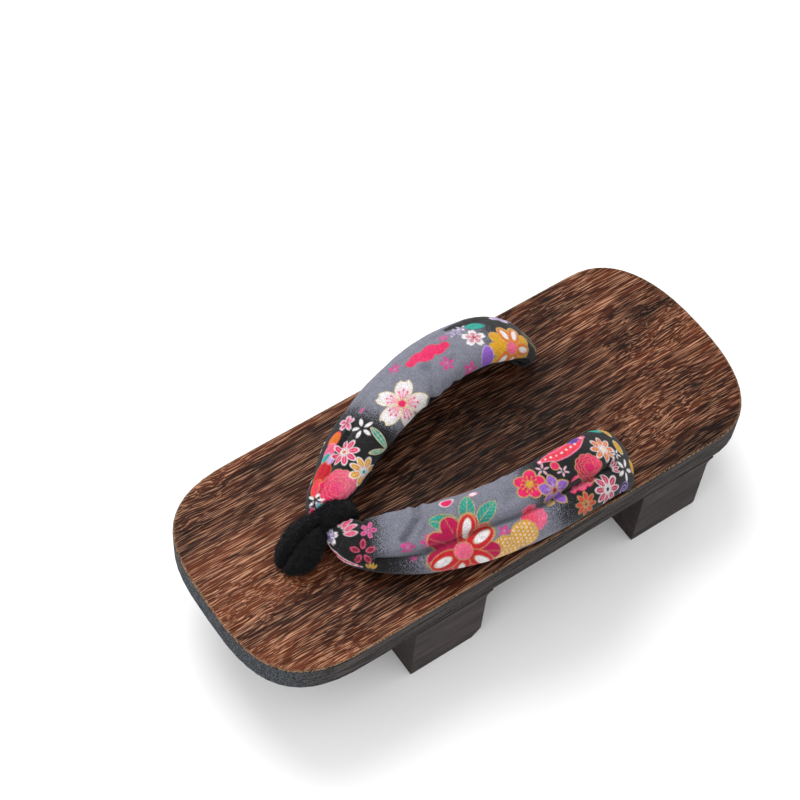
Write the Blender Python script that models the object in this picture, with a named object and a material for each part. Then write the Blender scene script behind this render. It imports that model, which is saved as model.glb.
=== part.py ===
# Geta sandal: a wooden board on two glued teeth, with a padded cloth strap held by a pile thong at the toe.
# Metres, +Z up, toe towards -Y. The origin is on the floor under the middle of the whole sandal.
# The strap overhangs the board a little on the +X side, so the board's own middle lies towards -X.
import math

import bmesh
import bpy
import numpy as np

# Board
BOARD_X = -0.0019
BOARD_LENGTH = 0.255
WIDTH_AT_TOE = 0.1028
WIDTH_AT_HEEL = 0.1040
BOARD_THICKNESS = 0.0147
TOE_ROUND_LENGTH = 0.0482
TOE_ROUND_POWER = 3.07
HEEL_ROUND_LENGTH = 0.0335
HEEL_ROUND_POWER = 2.43
EDGE_ROUND = 0.0011

# Teeth
TOOTH_HEIGHT = 0.0362
FRONT_TOOTH_FROM_TOE = 0.0665
FRONT_TOOTH_LENGTH = 0.0362
FRONT_TOOTH_CHAMFER = 0.0045
REAR_TOOTH_FROM_HEEL = 0.0340
REAR_TOOTH_LENGTH = 0.0360
REAR_TOOTH_CHAMFER = 0.0010
TOOTH_FILLET = 0.0030
TOOTH_FILLET_LIP = 0.0009
TOOTH_EDGE_EASE = 0.00035

# Holes for the thong and the strap
TOE_HOLE_FROM_TOE = 0.0385
TOE_HOLE_DIAMETER = 0.0100
REAR_HOLES_FROM_HEEL = 0.0797
REAR_HOLES_FROM_SIDE = 0.01506
REAR_HOLE_DIAMETER = 0.0080
HOLES_OFF_CENTRE = 0.0027

# Strap, a padded tube that runs from one rear hole, through the thong's loop, to the other rear hole
STRAP_WIDTH = 0.0290
STRAP_THICKNESS = 0.0160
STRAP_RISE = 0.0180
STRAP_ROUNDNESS = 2.3
UNDERSIDE_SHARE = 0.80
CREASE_DEPTH = 0.0022
CREASE_ANGLE = 70.0
CREASE_SPREAD = 12.0

# Thong
NECK_WIDTH = 0.0112
NECK_THICKNESS = 0.0056
LOOP_WIDTH = 0.0096
LOOP_WALL = 0.0044
STEM_BEND_RADIUS = 0.0105
STEM_WIDTH = 0.0120

# Knots under the board
KNOT_DIAMETER = 0.0135
KNOT_HEIGHT = 0.0080
KNOT_LOBES = 3
KNOT_LOBE_DEPTH = 0.07
KNOT_TWIST = 1.2
KNOT_LOWEST_SHARE = -0.88
KNOT_HIGHEST_SHARE = 0.80
KNOT_SHOULDER_SHARE = 0.84
TOE_CORD_DIAMETER = 0.0070

# Clearance between pieces that touch
PIECE_GAP = 0.0003

# Fineness of the curved pieces
END_ROUND_STEPS = 14
STRAP_SIDES = 36
STEPS_PER_ROW = 2
LOOP_STEPS = 32
LOOP_SIDES = 16
STEM_SIDES = 20
HOLE_SIDES = 20
KNOT_SIDES = 20
KNOT_RINGS = 8
FILLET_STEPS = 5

BOARD_UNDERSIDE = TOOTH_HEIGHT
BOARD_TOP = BOARD_UNDERSIDE + BOARD_THICKNESS
TOE_Y = -BOARD_LENGTH / 2
HEEL_Y = BOARD_LENGTH / 2
TOE_HOLE_Y = TOE_Y + TOE_HOLE_FROM_TOE
REAR_HOLES_Y = HEEL_Y - REAR_HOLES_FROM_HEEL
HOLE_REACH = REAR_HOLES_Y - TOE_HOLE_Y
HOLES_X = BOARD_X + HOLES_OFF_CENTRE

# One arm of the strap, from the neck inside the loop to the foot of the arm over its rear hole.
# back: share of the way from the toe hole to the rear holes; out: share of half the hole spacing;
# rise: share of STRAP_RISE; width and thick: shares of the strap's; roll: degrees, outer edge down;
# crease: share of CREASE_DEPTH.
ARM_COLUMNS = ("back", "out", "rise", "width", "thick", "roll", "crease")
ARM_ROWS = (
    (0.149, 0.208, 0.455, 0.43, 0.56, 8.0, 0.0),
    (0.174, 0.330, 0.47, 0.64, 0.76, 19.0, 0.2),
    (0.252, 0.495, 0.51, 0.85, 0.86, 23.0, 0.7),
    (0.343, 0.694, 0.60, 0.94, 0.92, 25.0, 1.0),
    (0.458, 0.870, 0.74, 0.99, 0.96, 24.0, 1.0),
    (0.583, 0.990, 0.89, 1.01, 0.99, 22.0, 1.0),
    (0.716, 1.056, 1.00, 1.02, 1.00, 20.0, 1.0),
    (0.834, 1.050, 0.967, 1.00, 1.00, 20.0, 0.9),
    (0.925, 1.015, 0.79, 1.00, 0.98, 19.0, 0.5),
    (0.980, 1.000, 0.50, 0.96, 0.92, 16.0, 0.0),
    (0.998, 1.000, 0.20, 0.90, 0.82, 12.0, 0.0),
)
NECK_BACK = 0.162
NECK_RISE = 0.455
NECK_LENGTH_SHARE = 0.92
FOOT_WIDTH_SHARE = 0.82
FOOT_THICK_SHARE = 0.70
FOOT_ROLL = 10.0

# The thong's stem, from the loop down into the toe hole. turn: share of the quarter bend;
# width and height: shares of STEM_WIDTH. It starts inside the loop's wall, by STEM_START_INSET of
# half the wall, and ends STEM_DEPTH_SHARE of the board's thickness down the hole.
STEM_COLUMNS = ("turn", "width", "height")
STEM_ROWS = (
    (0.00, 0.94, 1.06),
    (0.25, 0.98, 1.08),
    (0.50, 1.00, 1.06),
    (0.75, 1.03, 1.03),
    (0.93, 1.04, 1.04),
)
STEM_START_HEIGHT = 0.76
STEM_START_INSET = 0.33
STEM_DEPTH_SHARE = 0.5

WOOD_TOP = (0.130, 0.058, 0.030)
WOOD_SIDE = (0.050, 0.041, 0.038)
STRAP_CLOTH = (0.170, 0.175, 0.200)
BLACK_PILE = (0.012, 0.012, 0.013)
BLACK_CORD = (0.020, 0.020, 0.021)


def clear_scene():
    for old in list(bpy.data.objects):
        bpy.data.objects.remove(old, do_unlink=True)


def make_material(name, colour, roughness):
    material = bpy.data.materials.new(name)
    material.use_nodes = True
    shader = material.node_tree.nodes["Principled BSDF"]
    shader.inputs["Base Color"].default_value = (*colour, 1.0)
    shader.inputs["Roughness"].default_value = roughness
    shader.inputs["Metallic"].default_value = 0.0
    return material


def add_object(name, mesh, material, smooth_angle=None):
    item = bpy.data.objects.new(name, mesh)
    bpy.context.scene.collection.objects.link(item)
    item.data.materials.append(material)
    if smooth_angle is not None:
        mesh.shade_smooth()
        mesh.set_sharp_from_angle(angle=math.radians(smooth_angle))
    return item


def mesh_from_bmesh(name, work):
    bmesh.ops.recalc_face_normals(work, faces=work.faces)
    mesh = bpy.data.meshes.new(name)
    work.to_mesh(mesh)
    work.free()
    return mesh


def make_helper(item):
    item.hide_render = True
    item.display_type = "WIRE"


def loft(name, rings, closed_path=False):
    """Skin rings of equal count; the ends are filled unless the path closes on itself."""
    work = bmesh.new()
    loops = [[work.verts.new(point) for point in ring] for ring in rings]
    pairs = list(zip(loops[:-1], loops[1:]))
    if closed_path:
        pairs.append((loops[-1], loops[0]))
    for first, second in pairs:
        count = len(first)
        for i in range(count):
            j = (i + 1) % count
            work.faces.new((first[i], first[j], second[j], second[i]))
    if not closed_path:
        work.faces.new(loops[0])
        work.faces.new(loops[-1])
    return mesh_from_bmesh(name, work)


def half_width_at(y):
    """Half the board's width where its sides run straight, between the two rounded ends."""
    share = (y - TOE_Y) / BOARD_LENGTH
    return 0.5 * (WIDTH_AT_TOE + (WIDTH_AT_HEEL - WIDTH_AT_TOE) * share)


def half_hole_spacing():
    """Half the distance between the rear holes, which keep their place from the board's sides."""
    return half_width_at(REAR_HOLES_Y) - REAR_HOLES_FROM_SIDE


def board_outline():
    """Two superellipse ends joined by straight sides, counter-clockwise from the toe's tip."""
    angles = np.linspace(0.0, math.pi / 2, END_ROUND_STEPS)
    ends = (
        (TOE_Y, 1.0, TOE_ROUND_LENGTH, TOE_ROUND_POWER),
        (HEEL_Y, -1.0, HEEL_ROUND_LENGTH, HEEL_ROUND_POWER),
    )
    side = []
    for tip, inward, length, power in ends:
        half = half_width_at(tip + inward * length)
        out = half * np.abs(np.sin(angles)) ** (2.0 / power)
        back = tip + inward * length * (1.0 - np.abs(np.cos(angles)) ** (2.0 / power))
        points = list(zip(out, back))
        side += points if inward > 0 else points[::-1]
    mirrored = [(-x, y) for x, y in side[1:-1]]
    return [(BOARD_X + x, y) for x, y in side + mirrored[::-1]]


def extrude_up(name, outline, low, high):
    work = bmesh.new()
    floor = work.faces.new([work.verts.new((x, y, low)) for x, y in outline])
    grown = bmesh.ops.extrude_face_region(work, geom=[floor])
    top = [part for part in grown["geom"] if isinstance(part, bmesh.types.BMVert)]
    bmesh.ops.translate(work, verts=top, vec=(0.0, 0.0, high - low))
    return mesh_from_bmesh(name, work)


def hole_places():
    """Centre and diameter of the toe hole and the two rear holes."""
    half = half_hole_spacing()
    return (
        ("toe", HOLES_X, TOE_HOLE_Y, TOE_HOLE_DIAMETER),
        ("left", HOLES_X - half, REAR_HOLES_Y, REAR_HOLE_DIAMETER),
        ("right", HOLES_X + half, REAR_HOLES_Y, REAR_HOLE_DIAMETER),
    )


def add_bevel(item, width, segments, angle):
    bevel = item.modifiers.new("Eased edges", "BEVEL")
    bevel.width = width
    bevel.segments = segments
    bevel.limit_method = "ANGLE"
    bevel.angle_limit = math.radians(angle)


def make_board(material):
    mesh = extrude_up("board", board_outline(), BOARD_UNDERSIDE, BOARD_TOP)
    board = add_object("board", mesh, material, smooth_angle=35)
    add_bevel(board, EDGE_ROUND, 3, 60)
    for label, x, y, diameter in hole_places():
        angles = np.linspace(0.0, 2 * math.pi, HOLE_SIDES, endpoint=False)
        ring = [(x + diameter / 2 * math.cos(a), y + diameter / 2 * math.sin(a)) for a in angles]
        low = BOARD_UNDERSIDE - EDGE_ROUND
        high = BOARD_TOP + EDGE_ROUND
        drill = add_object(label + "_drill", extrude_up(label + "_drill", ring, low, high), material)
        make_helper(drill)
        cut = board.modifiers.new(label + " hole", "BOOLEAN")
        cut.operation = "DIFFERENCE"
        cut.solver = "EXACT"
        cut.object = drill


def tooth_profile(front, length, chamfer):
    """Side view of a tooth, toe to heel: worn rear corner, and a hollow fillet behind, up to the board."""
    top = BOARD_UNDERSIDE - PIECE_GAP
    rear = front + length
    shoulder = top - TOOTH_FILLET_LIP
    arc = []
    for angle in np.linspace(0.0, math.pi / 2, FILLET_STEPS):
        y = rear + TOOTH_FILLET * (1.0 - math.cos(angle))
        z = shoulder - TOOTH_FILLET * (1.0 - math.sin(angle))
        arc.append((y, z))
    corner = [(front, top), (front, 0.0), (rear - chamfer, 0.0), (rear, chamfer)]
    return corner + arc + [(rear + TOOTH_FILLET, top)]


def make_tooth(name, front, length, chamfer, material):
    half = min(half_width_at(front), half_width_at(front + length))
    work = bmesh.new()
    profile = tooth_profile(front, length, chamfer)
    side = work.faces.new([work.verts.new((BOARD_X - half, y, z)) for y, z in profile])
    grown = bmesh.ops.extrude_face_region(work, geom=[side])
    far = [part for part in grown["geom"] if isinstance(part, bmesh.types.BMVert)]
    bmesh.ops.translate(work, verts=far, vec=(2 * half, 0.0, 0.0))
    tooth = add_object(name, mesh_from_bmesh(name, work), material, smooth_angle=30)
    add_bevel(tooth, TOOTH_EDGE_EASE, 2, 40)


def named_rows(columns, rows):
    return [dict(zip(columns, row)) for row in rows]


def smooth_rows(rows, steps):
    """Catmull-Rom curve through the rows, with the given number of steps in each interval."""
    table = np.array(rows, dtype=float)
    padded = np.vstack((2 * table[0] - table[1], table, 2 * table[-1] - table[-2]))
    out = []
    for i in range(len(table) - 1):
        a, b, c, d = padded[i:i + 4]
        for t in np.arange(steps) / steps:
            out.append(0.5 * (2 * b + (c - a) * t + (2 * a - 5 * b + 4 * c - d) * t ** 2
                              + (3 * b - a - 3 * c + d) * t ** 3))
    out.append(table[-1])
    return np.array(out)


def arm_table():
    """Rows in metres from the neck outwards: x, y, z, half width, half thickness, roll, crease."""
    neck_y = TOE_HOLE_Y + NECK_BACK * HOLE_REACH
    neck_z = BOARD_TOP + NECK_RISE * STRAP_RISE
    inside_loop = NECK_LENGTH_SHARE * LOOP_WIDTH / 2
    rows = [
        (0.0, neck_y, neck_z, NECK_WIDTH / 2, NECK_THICKNESS / 2, 0.0, 0.0),
        (inside_loop, neck_y, neck_z, NECK_WIDTH / 2, NECK_THICKNESS / 2, 0.0, 0.0),
    ]
    for row in named_rows(ARM_COLUMNS, ARM_ROWS):
        rows.append((
            row["out"] * half_hole_spacing(),
            TOE_HOLE_Y + row["back"] * HOLE_REACH,
            BOARD_TOP + row["rise"] * STRAP_RISE,
            row["width"] * STRAP_WIDTH / 2,
            row["thick"] * STRAP_THICKNESS / 2,
            row["roll"],
            row["crease"] * CREASE_DEPTH,
        ))
    rows.append((
        half_hole_spacing(),
        REAR_HOLES_Y,
        BOARD_TOP + PIECE_GAP,
        FOOT_WIDTH_SHARE * STRAP_WIDTH / 2,
        FOOT_THICK_SHARE * STRAP_THICKNESS / 2,
        FOOT_ROLL,
        0.0,
    ))
    return rows


def strap_section(half_width, half_thick, crease):
    """Superellipse, flatter below, with the long crease pressed into its upper outer side."""
    angles = np.radians(np.arange(STRAP_SIDES) * 360.0 / STRAP_SIDES)
    power = 2.0 / STRAP_ROUNDNESS
    across = half_width * np.sign(np.cos(angles)) * np.abs(np.cos(angles)) ** power
    lift = half_thick * np.sign(np.sin(angles)) * np.abs(np.sin(angles)) ** power
    lift = np.where(lift < 0, lift * UNDERSIDE_SHARE, lift)
    away = (np.degrees(angles) - CREASE_ANGLE) / CREASE_SPREAD
    press = crease * np.exp(-away ** 2)
    size = np.hypot(across, lift)
    return across * (1 - press / size), lift * (1 - press / size)


def make_strap(material):
    """Sections carried along both arms as one tube, from the left foot through the neck to the right."""
    right = smooth_rows(arm_table(), STEPS_PER_ROW)
    left = right[:0:-1].copy()
    left[:, 0] *= -1
    path = np.vstack((left, right))
    tangent = np.gradient(path[:, :3], axis=0)
    tangent[0] = tangent[-1] = (0.0, 0.0, -1.0)
    tangent[0] *= -1
    plan = tangent[:, :2].copy()
    plan[0] = (0.0, -1.0)
    plan[-1] = (0.0, 1.0)
    rings = []
    for row, along, flat in zip(path, tangent, plan):
        along = along / np.linalg.norm(along)
        flat = flat / np.linalg.norm(flat)
        outward = np.array((flat[1], -flat[0], 0.0))
        upward = np.cross(outward, along)
        roll = math.radians(row[5])
        wide = outward * math.cos(roll) - upward * math.sin(roll)
        thick = upward * math.cos(roll) + outward * math.sin(roll)
        across, lift = strap_section(row[3], row[4], row[6])
        centre = row[:3] + np.array((HOLES_X, 0.0, 0.0))
        ring = centre + across[:, None] * wide + lift[:, None] * thick
        rings.append(ring.tolist())
    add_object("strap", loft("strap", rings), material, smooth_angle=60)


def make_thong(material):
    """A flat loop round the strap's neck, joined to a stem that bends down into the toe hole."""
    neck_y = TOE_HOLE_Y + NECK_BACK * HOLE_REACH
    neck_z = BOARD_TOP + NECK_RISE * STRAP_RISE
    wall = LOOP_WALL / 2
    reach_y = NECK_WIDTH / 2 + PIECE_GAP + wall
    reach_up = NECK_THICKNESS / 2 + PIECE_GAP + wall
    around = np.linspace(0.0, 2 * math.pi, LOOP_SIDES, endpoint=False)
    rings = []
    for angle in np.linspace(0.0, 2 * math.pi, LOOP_STEPS, endpoint=False):
        direction = np.array((0.0, math.cos(angle) * reach_up, math.sin(angle) * reach_y))
        direction /= np.linalg.norm(direction)
        centre = np.array((HOLES_X, neck_y + reach_y * math.cos(angle),
                           neck_z + reach_up * math.sin(angle)))
        ring = [centre + np.array((LOOP_WIDTH / 2 * math.cos(a), 0.0, 0.0)) + direction * wall * math.sin(a)
                for a in around]
        rings.append([tuple(point) for point in ring])
    thong = add_object("toe_thong", loft("toe_thong", rings, closed_path=True), material, smooth_angle=60)

    bend_y = TOE_HOLE_Y + STEM_BEND_RADIUS
    start_y = neck_y - reach_y + STEM_START_INSET * wall
    stations = [(start_y, neck_z, 0.0, LOOP_WIDTH / 2, STEM_START_HEIGHT * STEM_WIDTH / 2)]
    for row in named_rows(STEM_COLUMNS, STEM_ROWS):
        angle = row["turn"] * math.pi / 2
        y = bend_y - STEM_BEND_RADIUS * math.sin(angle)
        z = BOARD_TOP + STEM_BEND_RADIUS * math.cos(angle)
        stations.append((y, z, angle, row["width"] * STEM_WIDTH / 2, row["height"] * STEM_WIDTH / 2))
    seat = STEM_WIDTH / 2
    bore = TOE_HOLE_DIAMETER / 2 - PIECE_GAP
    down = math.pi / 2
    stations.append((TOE_HOLE_Y, BOARD_TOP + PIECE_GAP, down, seat, seat))
    stations.append((TOE_HOLE_Y, BOARD_TOP + PIECE_GAP / 2, down, bore, bore))
    stations.append((TOE_HOLE_Y, BOARD_TOP - STEM_DEPTH_SHARE * BOARD_THICKNESS, down, bore, bore))
    sides = np.linspace(0.0, 2 * math.pi, STEM_SIDES, endpoint=False)
    stem_rings = []
    for y, z, angle, half_width, half_height in stations:
        lift = np.array((0.0, -math.sin(angle), math.cos(angle)))
        centre = np.array((HOLES_X, y, z))
        ring = [centre + np.array((half_width * math.cos(a), 0.0, 0.0)) + lift * half_height * math.sin(a)
                for a in sides]
        stem_rings.append([tuple(point) for point in ring])
    stem = add_object("stem", loft("stem", stem_rings), material)
    make_helper(stem)
    join = thong.modifiers.new("Stem", "BOOLEAN")
    join.operation = "UNION"
    join.solver = "EXACT"
    join.object = stem


def make_knot(name, x, y, cord_diameter, cord_top, material):
    """A pulled-tight knot below the board, turned with three soft lobes, and its cord up the hole."""
    knot_top = BOARD_UNDERSIDE - PIECE_GAP
    middle = knot_top - KNOT_HEIGHT / 2
    sides = np.linspace(0.0, 2 * math.pi, KNOT_SIDES, endpoint=False)
    rings = []
    for share in np.linspace(KNOT_LOWEST_SHARE, KNOT_HIGHEST_SHARE, KNOT_RINGS):
        girth = KNOT_DIAMETER / 2 * math.sqrt(1.0 - share ** 2)
        twist = KNOT_TWIST * share
        ring = []
        z = middle + share * KNOT_HEIGHT / 2
        for a in sides:
            radius = girth * (1.0 + KNOT_LOBE_DEPTH * math.cos(KNOT_LOBES * (a - twist)))
            ring.append((x + radius * math.cos(a), y + radius * math.sin(a), z))
        rings.append(ring)
    for z in (middle + KNOT_SHOULDER_SHARE * KNOT_HEIGHT / 2, cord_top):
        ring = [(x + cord_diameter / 2 * math.cos(a), y + cord_diameter / 2 * math.sin(a), z) for a in sides]
        rings.append(ring)
    add_object(name, loft(name, rings), material, smooth_angle=60)


def make_knots(material):
    stem_end = BOARD_TOP - STEM_DEPTH_SHARE * BOARD_THICKNESS
    strap_foot = BOARD_TOP + PIECE_GAP
    for label, x, y, diameter in hole_places():
        if label == "toe":
            make_knot("toe_knot", x, y, TOE_CORD_DIAMETER, stem_end - PIECE_GAP, material)
        else:
            cord = diameter - 2 * PIECE_GAP
            make_knot("rear_knot_" + label, x, y, cord, strap_foot - PIECE_GAP, material)


def build():
    clear_scene()
    top_wood = make_material("burnt wood", WOOD_TOP, 0.55)
    tooth_wood = make_material("burnt tooth wood", WOOD_SIDE, 0.65)
    cloth = make_material("printed cotton", STRAP_CLOTH, 0.85)
    pile = make_material("black pile", BLACK_PILE, 0.95)
    cord = make_material("black cord", BLACK_CORD, 0.9)
    front = TOE_Y + FRONT_TOOTH_FROM_TOE
    rear = HEEL_Y - REAR_TOOTH_FROM_HEEL - REAR_TOOTH_LENGTH
    make_board(top_wood)
    make_tooth("front_tooth", front, FRONT_TOOTH_LENGTH, FRONT_TOOTH_CHAMFER, tooth_wood)
    make_tooth("rear_tooth", rear, REAR_TOOTH_LENGTH, REAR_TOOTH_CHAMFER, tooth_wood)
    make_strap(cloth)
    make_thong(pile)
    make_knots(cord)


build()
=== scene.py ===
import math

import bpy
import numpy as np
from mathutils import Matrix, Vector


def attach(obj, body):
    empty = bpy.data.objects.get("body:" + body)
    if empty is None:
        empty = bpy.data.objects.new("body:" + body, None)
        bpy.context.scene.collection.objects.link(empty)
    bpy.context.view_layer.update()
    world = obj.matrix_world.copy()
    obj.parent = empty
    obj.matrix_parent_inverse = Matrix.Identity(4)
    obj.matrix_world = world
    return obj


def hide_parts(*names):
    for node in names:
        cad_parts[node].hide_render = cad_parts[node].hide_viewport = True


# Looks of the geta. Lengths are in metres, the toe points to -Y, and the origin is on the floor.
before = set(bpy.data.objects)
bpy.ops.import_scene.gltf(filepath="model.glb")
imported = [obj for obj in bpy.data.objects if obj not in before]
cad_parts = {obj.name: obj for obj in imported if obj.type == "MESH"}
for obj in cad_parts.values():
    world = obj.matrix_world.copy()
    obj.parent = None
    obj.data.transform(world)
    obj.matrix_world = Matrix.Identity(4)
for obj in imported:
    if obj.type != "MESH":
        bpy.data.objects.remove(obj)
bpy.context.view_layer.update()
print("frame loaded")

boardTop = 0.0509
holes = {"x": 0.0008, "toeY": -0.0890, "rearY": 0.0478, "halfSpacing": 0.03675}
clearance = 0.0003


def addObject(name, data):
    made = bpy.data.objects.new(name, data)
    bpy.context.scene.collection.objects.link(made)
    return made


def unit(vectors):
    return vectors / np.linalg.norm(vectors, axis=-1, keepdims=True)


# Camera, at the picture's angle to the shoe
view = {
    "place": (0.3171, -0.3033, 0.7456),
    "looksAt": (-0.0430, -0.0049, 0.0450),
    "roll": 5.714,
    "lens": 88.14,
    "sensor": 36.0,
    "pixels": 800,
}


def cameraAxes():
    # forward runs from the place to the target; right is level, then both it and up turn by the roll
    forward = unit(np.array(view["looksAt"]) - np.array(view["place"]))
    level = unit(np.cross(forward, (0.0, 0.0, 1.0)))
    up = np.cross(level, forward)
    turn = math.radians(view["roll"])
    right = level * math.cos(turn) + up * math.sin(turn)
    up = up * math.cos(turn) - level * math.sin(turn)
    return right, up, forward


def makeCamera():
    right, up, forward = cameraAxes()
    data = bpy.data.cameras.new("camera")
    data.lens = view["lens"]
    data.sensor_width = view["sensor"]
    data.clip_start = 0.01
    camera = addObject("camera", data)
    turned = Matrix((right, up, -forward)).transposed().to_4x4()
    camera.matrix_world = Matrix.Translation(Vector(view["place"])) @ turned
    bpy.context.scene.camera = camera


def toPicture(points):
    # pinhole: sideways and upward distance over depth, times the focal length in pixels, from the middle
    right, up, forward = cameraAxes()
    offset = points - np.array(view["place"])
    depth = offset @ forward
    focal = view["lens"] / view["sensor"] * view["pixels"]
    middle = view["pixels"] / 2
    return np.stack((middle + focal * (offset @ right) / depth,
                     middle - focal * (offset @ up) / depth), axis=-1)


makeCamera()
print("camera placed")


# Shared helpers
def paint(code):
    # screen colour code to the linear values that shaders use
    value = np.array([int(code[k:k + 2], 16) for k in (0, 2, 4)]) / 255.0
    return np.where(value <= 0.04045, value / 12.92, ((value + 0.055) / 1.055) ** 2.4)


def rgba(code):
    return (*paint(code), 1.0)


def gaussian(distance, spread):
    return np.exp(-(distance / spread) ** 2)


def superellipse(turn, halfAcross, halfLift, roundness):
    # cosine and sine, each raised to two over the roundness with its sign kept, times the half sizes
    power = 2.0 / roundness
    return (halfAcross * np.sign(np.cos(turn)) * np.abs(np.cos(turn)) ** power,
            halfLift * np.sign(np.sin(turn)) * np.abs(np.sin(turn)) ** power)


def valueNoise(points, cell, seed):
    # random values from -1 to 1 at the corners of cubic cells, blended smoothly inside each cell
    spot = points / cell
    low = np.floor(spot).astype(np.int64)
    part = spot - low
    part = part * part * (3 - 2 * part)
    total = np.zeros(points.shape[:-1])
    for corner in np.ndindex(2, 2, 2):
        k = low + np.array(corner)
        mixed = (k[..., 0] * 73856093) ^ (k[..., 1] * 19349663) ^ (k[..., 2] * 83492791) ^ (seed * 2654435)
        mixed = (mixed ^ (mixed >> 13)) * 1274126177 & 0x7FFFFFFF
        mixed = (mixed ^ (mixed >> 11)) & 0xFFFF
        weight = np.prod(np.where(np.array(corner) == 1, part, 1 - part), axis=-1)
        total += weight * (mixed / 32767.5 - 1)
    return total


def smoothRows(rows, steps):
    # Catmull-Rom: in each interval a cubic that leaves and meets its rows along their neighbours' chords
    table = np.vstack((2 * rows[0] - rows[1], rows, 2 * rows[-1] - rows[-2]))
    a, b, c, d = (table[k:k + len(rows) - 1, None] for k in range(4))
    t = (np.arange(steps) / steps)[None, :, None]
    curve = 0.5 * (2 * b + (c - a) * t + (2 * a - 5 * b + 4 * c - d) * t ** 2
                   + (3 * b - a - 3 * c + d) * t ** 3)
    return np.vstack((curve.reshape(-1, rows.shape[1]), rows[-1:]))


def evenRows(fine, step):
    # the rows again at equal steps of the length that their first three columns run through
    gaps = np.linalg.norm(np.diff(fine[:, :3], axis=0), axis=1)
    run = np.concatenate(((0.0,), np.cumsum(gaps)))
    even = np.linspace(0.0, run[-1], int(run[-1] / step) + 1)
    return even, np.column_stack([np.interp(even, run, column) for column in fine.T])


def gridNormals(grid, wrapRows=False):
    # cross product of the differences along the rows and round the columns
    if wrapRows:
        alongStep = np.roll(grid, -1, 0) - np.roll(grid, 1, 0)
    else:
        alongStep = np.gradient(grid, axis=0)
    roundStep = np.roll(grid, -1, 1) - np.roll(grid, 1, 1)
    normal = np.cross(alongStep, roundStep)
    return normal / np.maximum(np.linalg.norm(normal, axis=2, keepdims=True), 1e-12)


def gridObject(name, grid, material, wrapRows=False, flipped=False, extra=None):
    # quads between neighbouring rows and columns; open ends are closed by a fan round their middle
    rows, columns = grid.shape[:2]
    index = np.arange(rows * columns).reshape(rows, columns)
    first = index if wrapRows else index[:-1]
    second = np.roll(index, -1, 0) if wrapRows else index[1:]
    quads = np.stack((first, second, np.roll(second, -1, 1), np.roll(first, -1, 1)), axis=-1).reshape(-1, 4)
    places = grid.reshape(-1, 3)
    faces = [quads[:, ::-1] if flipped else quads]
    if not wrapRows:
        places = np.vstack((places, grid[0].mean(0), grid[-1].mean(0)))
        start, end = rows * columns, rows * columns + 1
        nearFan = np.stack((np.full(columns, start), index[0], np.roll(index[0], -1)), axis=-1)
        farFan = np.stack((np.full(columns, end), np.roll(index[-1], -1), index[-1]), axis=-1)
        faces += [nearFan[:, ::-1], farFan[:, ::-1]] if flipped else [nearFan, farFan]
    if extra is not None:
        faces.append(extra[1] + len(places))
        places = np.vstack((places, extra[0]))
    mesh = bpy.data.meshes.new(name)
    mesh.from_pydata(places.tolist(), [], [face for block in faces for face in block.tolist()])
    mesh.shade_smooth()
    mesh.materials.append(material)
    return addObject(name, mesh)


def setAttribute(mesh, name, kind, values):
    field = {"FLOAT": "value", "FLOAT_VECTOR": "vector", "FLOAT_COLOR": "color"}[kind]
    layer = mesh.attributes.new(name, kind, "POINT")
    layer.data.foreach_set(field, np.ascontiguousarray(values, dtype=np.float32).ravel())


# Material helpers
def startMaterial(name, settings):
    # settings go straight on the shader's own sockets; place is the point in the object's coordinates
    material = bpy.data.materials.new(name)
    material.use_nodes = True
    tree = material.node_tree
    shader = tree.nodes["Principled BSDF"]
    for socket, value in settings.items():
        shader.inputs[socket].default_value = value
    place = tree.nodes.new("ShaderNodeTexCoord").outputs["Object"]
    return material, tree, shader, place


def put(tree, value, socket):
    if isinstance(value, bpy.types.NodeSocket):
        tree.links.new(value, socket)
    else:
        socket.default_value = value


def addNode(tree, kind, inputs, **settings):
    made = tree.nodes.new("ShaderNode" + kind)
    for key, value in settings.items():
        setattr(made, key, value)
    for key, value in inputs.items():
        put(tree, value, made.inputs[key])
    return made


def calc(tree, operation, a, b=0.0, c=0.0):
    return addNode(tree, "Math", {0: a, 1: b, 2: c}, operation=operation).outputs[0]


def weighted(tree, *parts):
    # each value times its weight, added up
    total = 0.0
    for value, weight in parts:
        total = calc(tree, "MULTIPLY_ADD", value, weight, total)
    return total


def blendColour(tree, amount, a, b, mode="MIX"):
    made = addNode(tree, "Mix", {0: amount, 6: a, 7: b}, data_type="RGBA", blend_type=mode)
    return made.outputs[2]


def noiseOf(tree, vector, scale, detail=2.0, rough=0.5, along=1.0, shift=(0.0, 0.0, 0.0), output=0):
    # along below 1 draws the noise out lengthwise; output 0 is its value and 1 its colour
    moved = addNode(tree, "Mapping", {"Vector": vector, "Scale": (1.0, along, 1.0), "Location": shift})
    made = addNode(tree, "TexNoise", {"Vector": moved.outputs[0], "Scale": scale, "Detail": detail,
                                      "Roughness": rough})
    return made.outputs[output]


def between(tree, value, low, high, toLow=0.0, toHigh=1.0):
    made = addNode(tree, "MapRange", {0: value, 1: low, 2: high, 3: toLow, 4: toHigh},
                   interpolation_type="SMOOTHSTEP")
    return made.outputs[0]


def ramp(tree, value, places, colours):
    made = addNode(tree, "ValToRGB", {0: value})
    bar = made.color_ramp
    while len(bar.elements) < len(places):
        bar.elements.new(0.5)
    for element, place, colour in zip(bar.elements, places, colours):
        element.position = place
        element.color = rgba(colour)
    return made.outputs[0]


def connect(tree, shader, colour, height, strength, distance):
    bump = addNode(tree, "Bump", {"Height": height, "Strength": strength, "Distance": distance})
    put(tree, colour, shader.inputs["Base Color"])
    put(tree, bump.outputs[0], shader.inputs["Normal"])


def refinish(nodeNames, material):
    # CAD pieces keep their shape and take a new material
    for nodeName in nodeNames:
        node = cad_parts[nodeName]
        node.data.materials.clear()
        node.data.materials.append(material)


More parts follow.
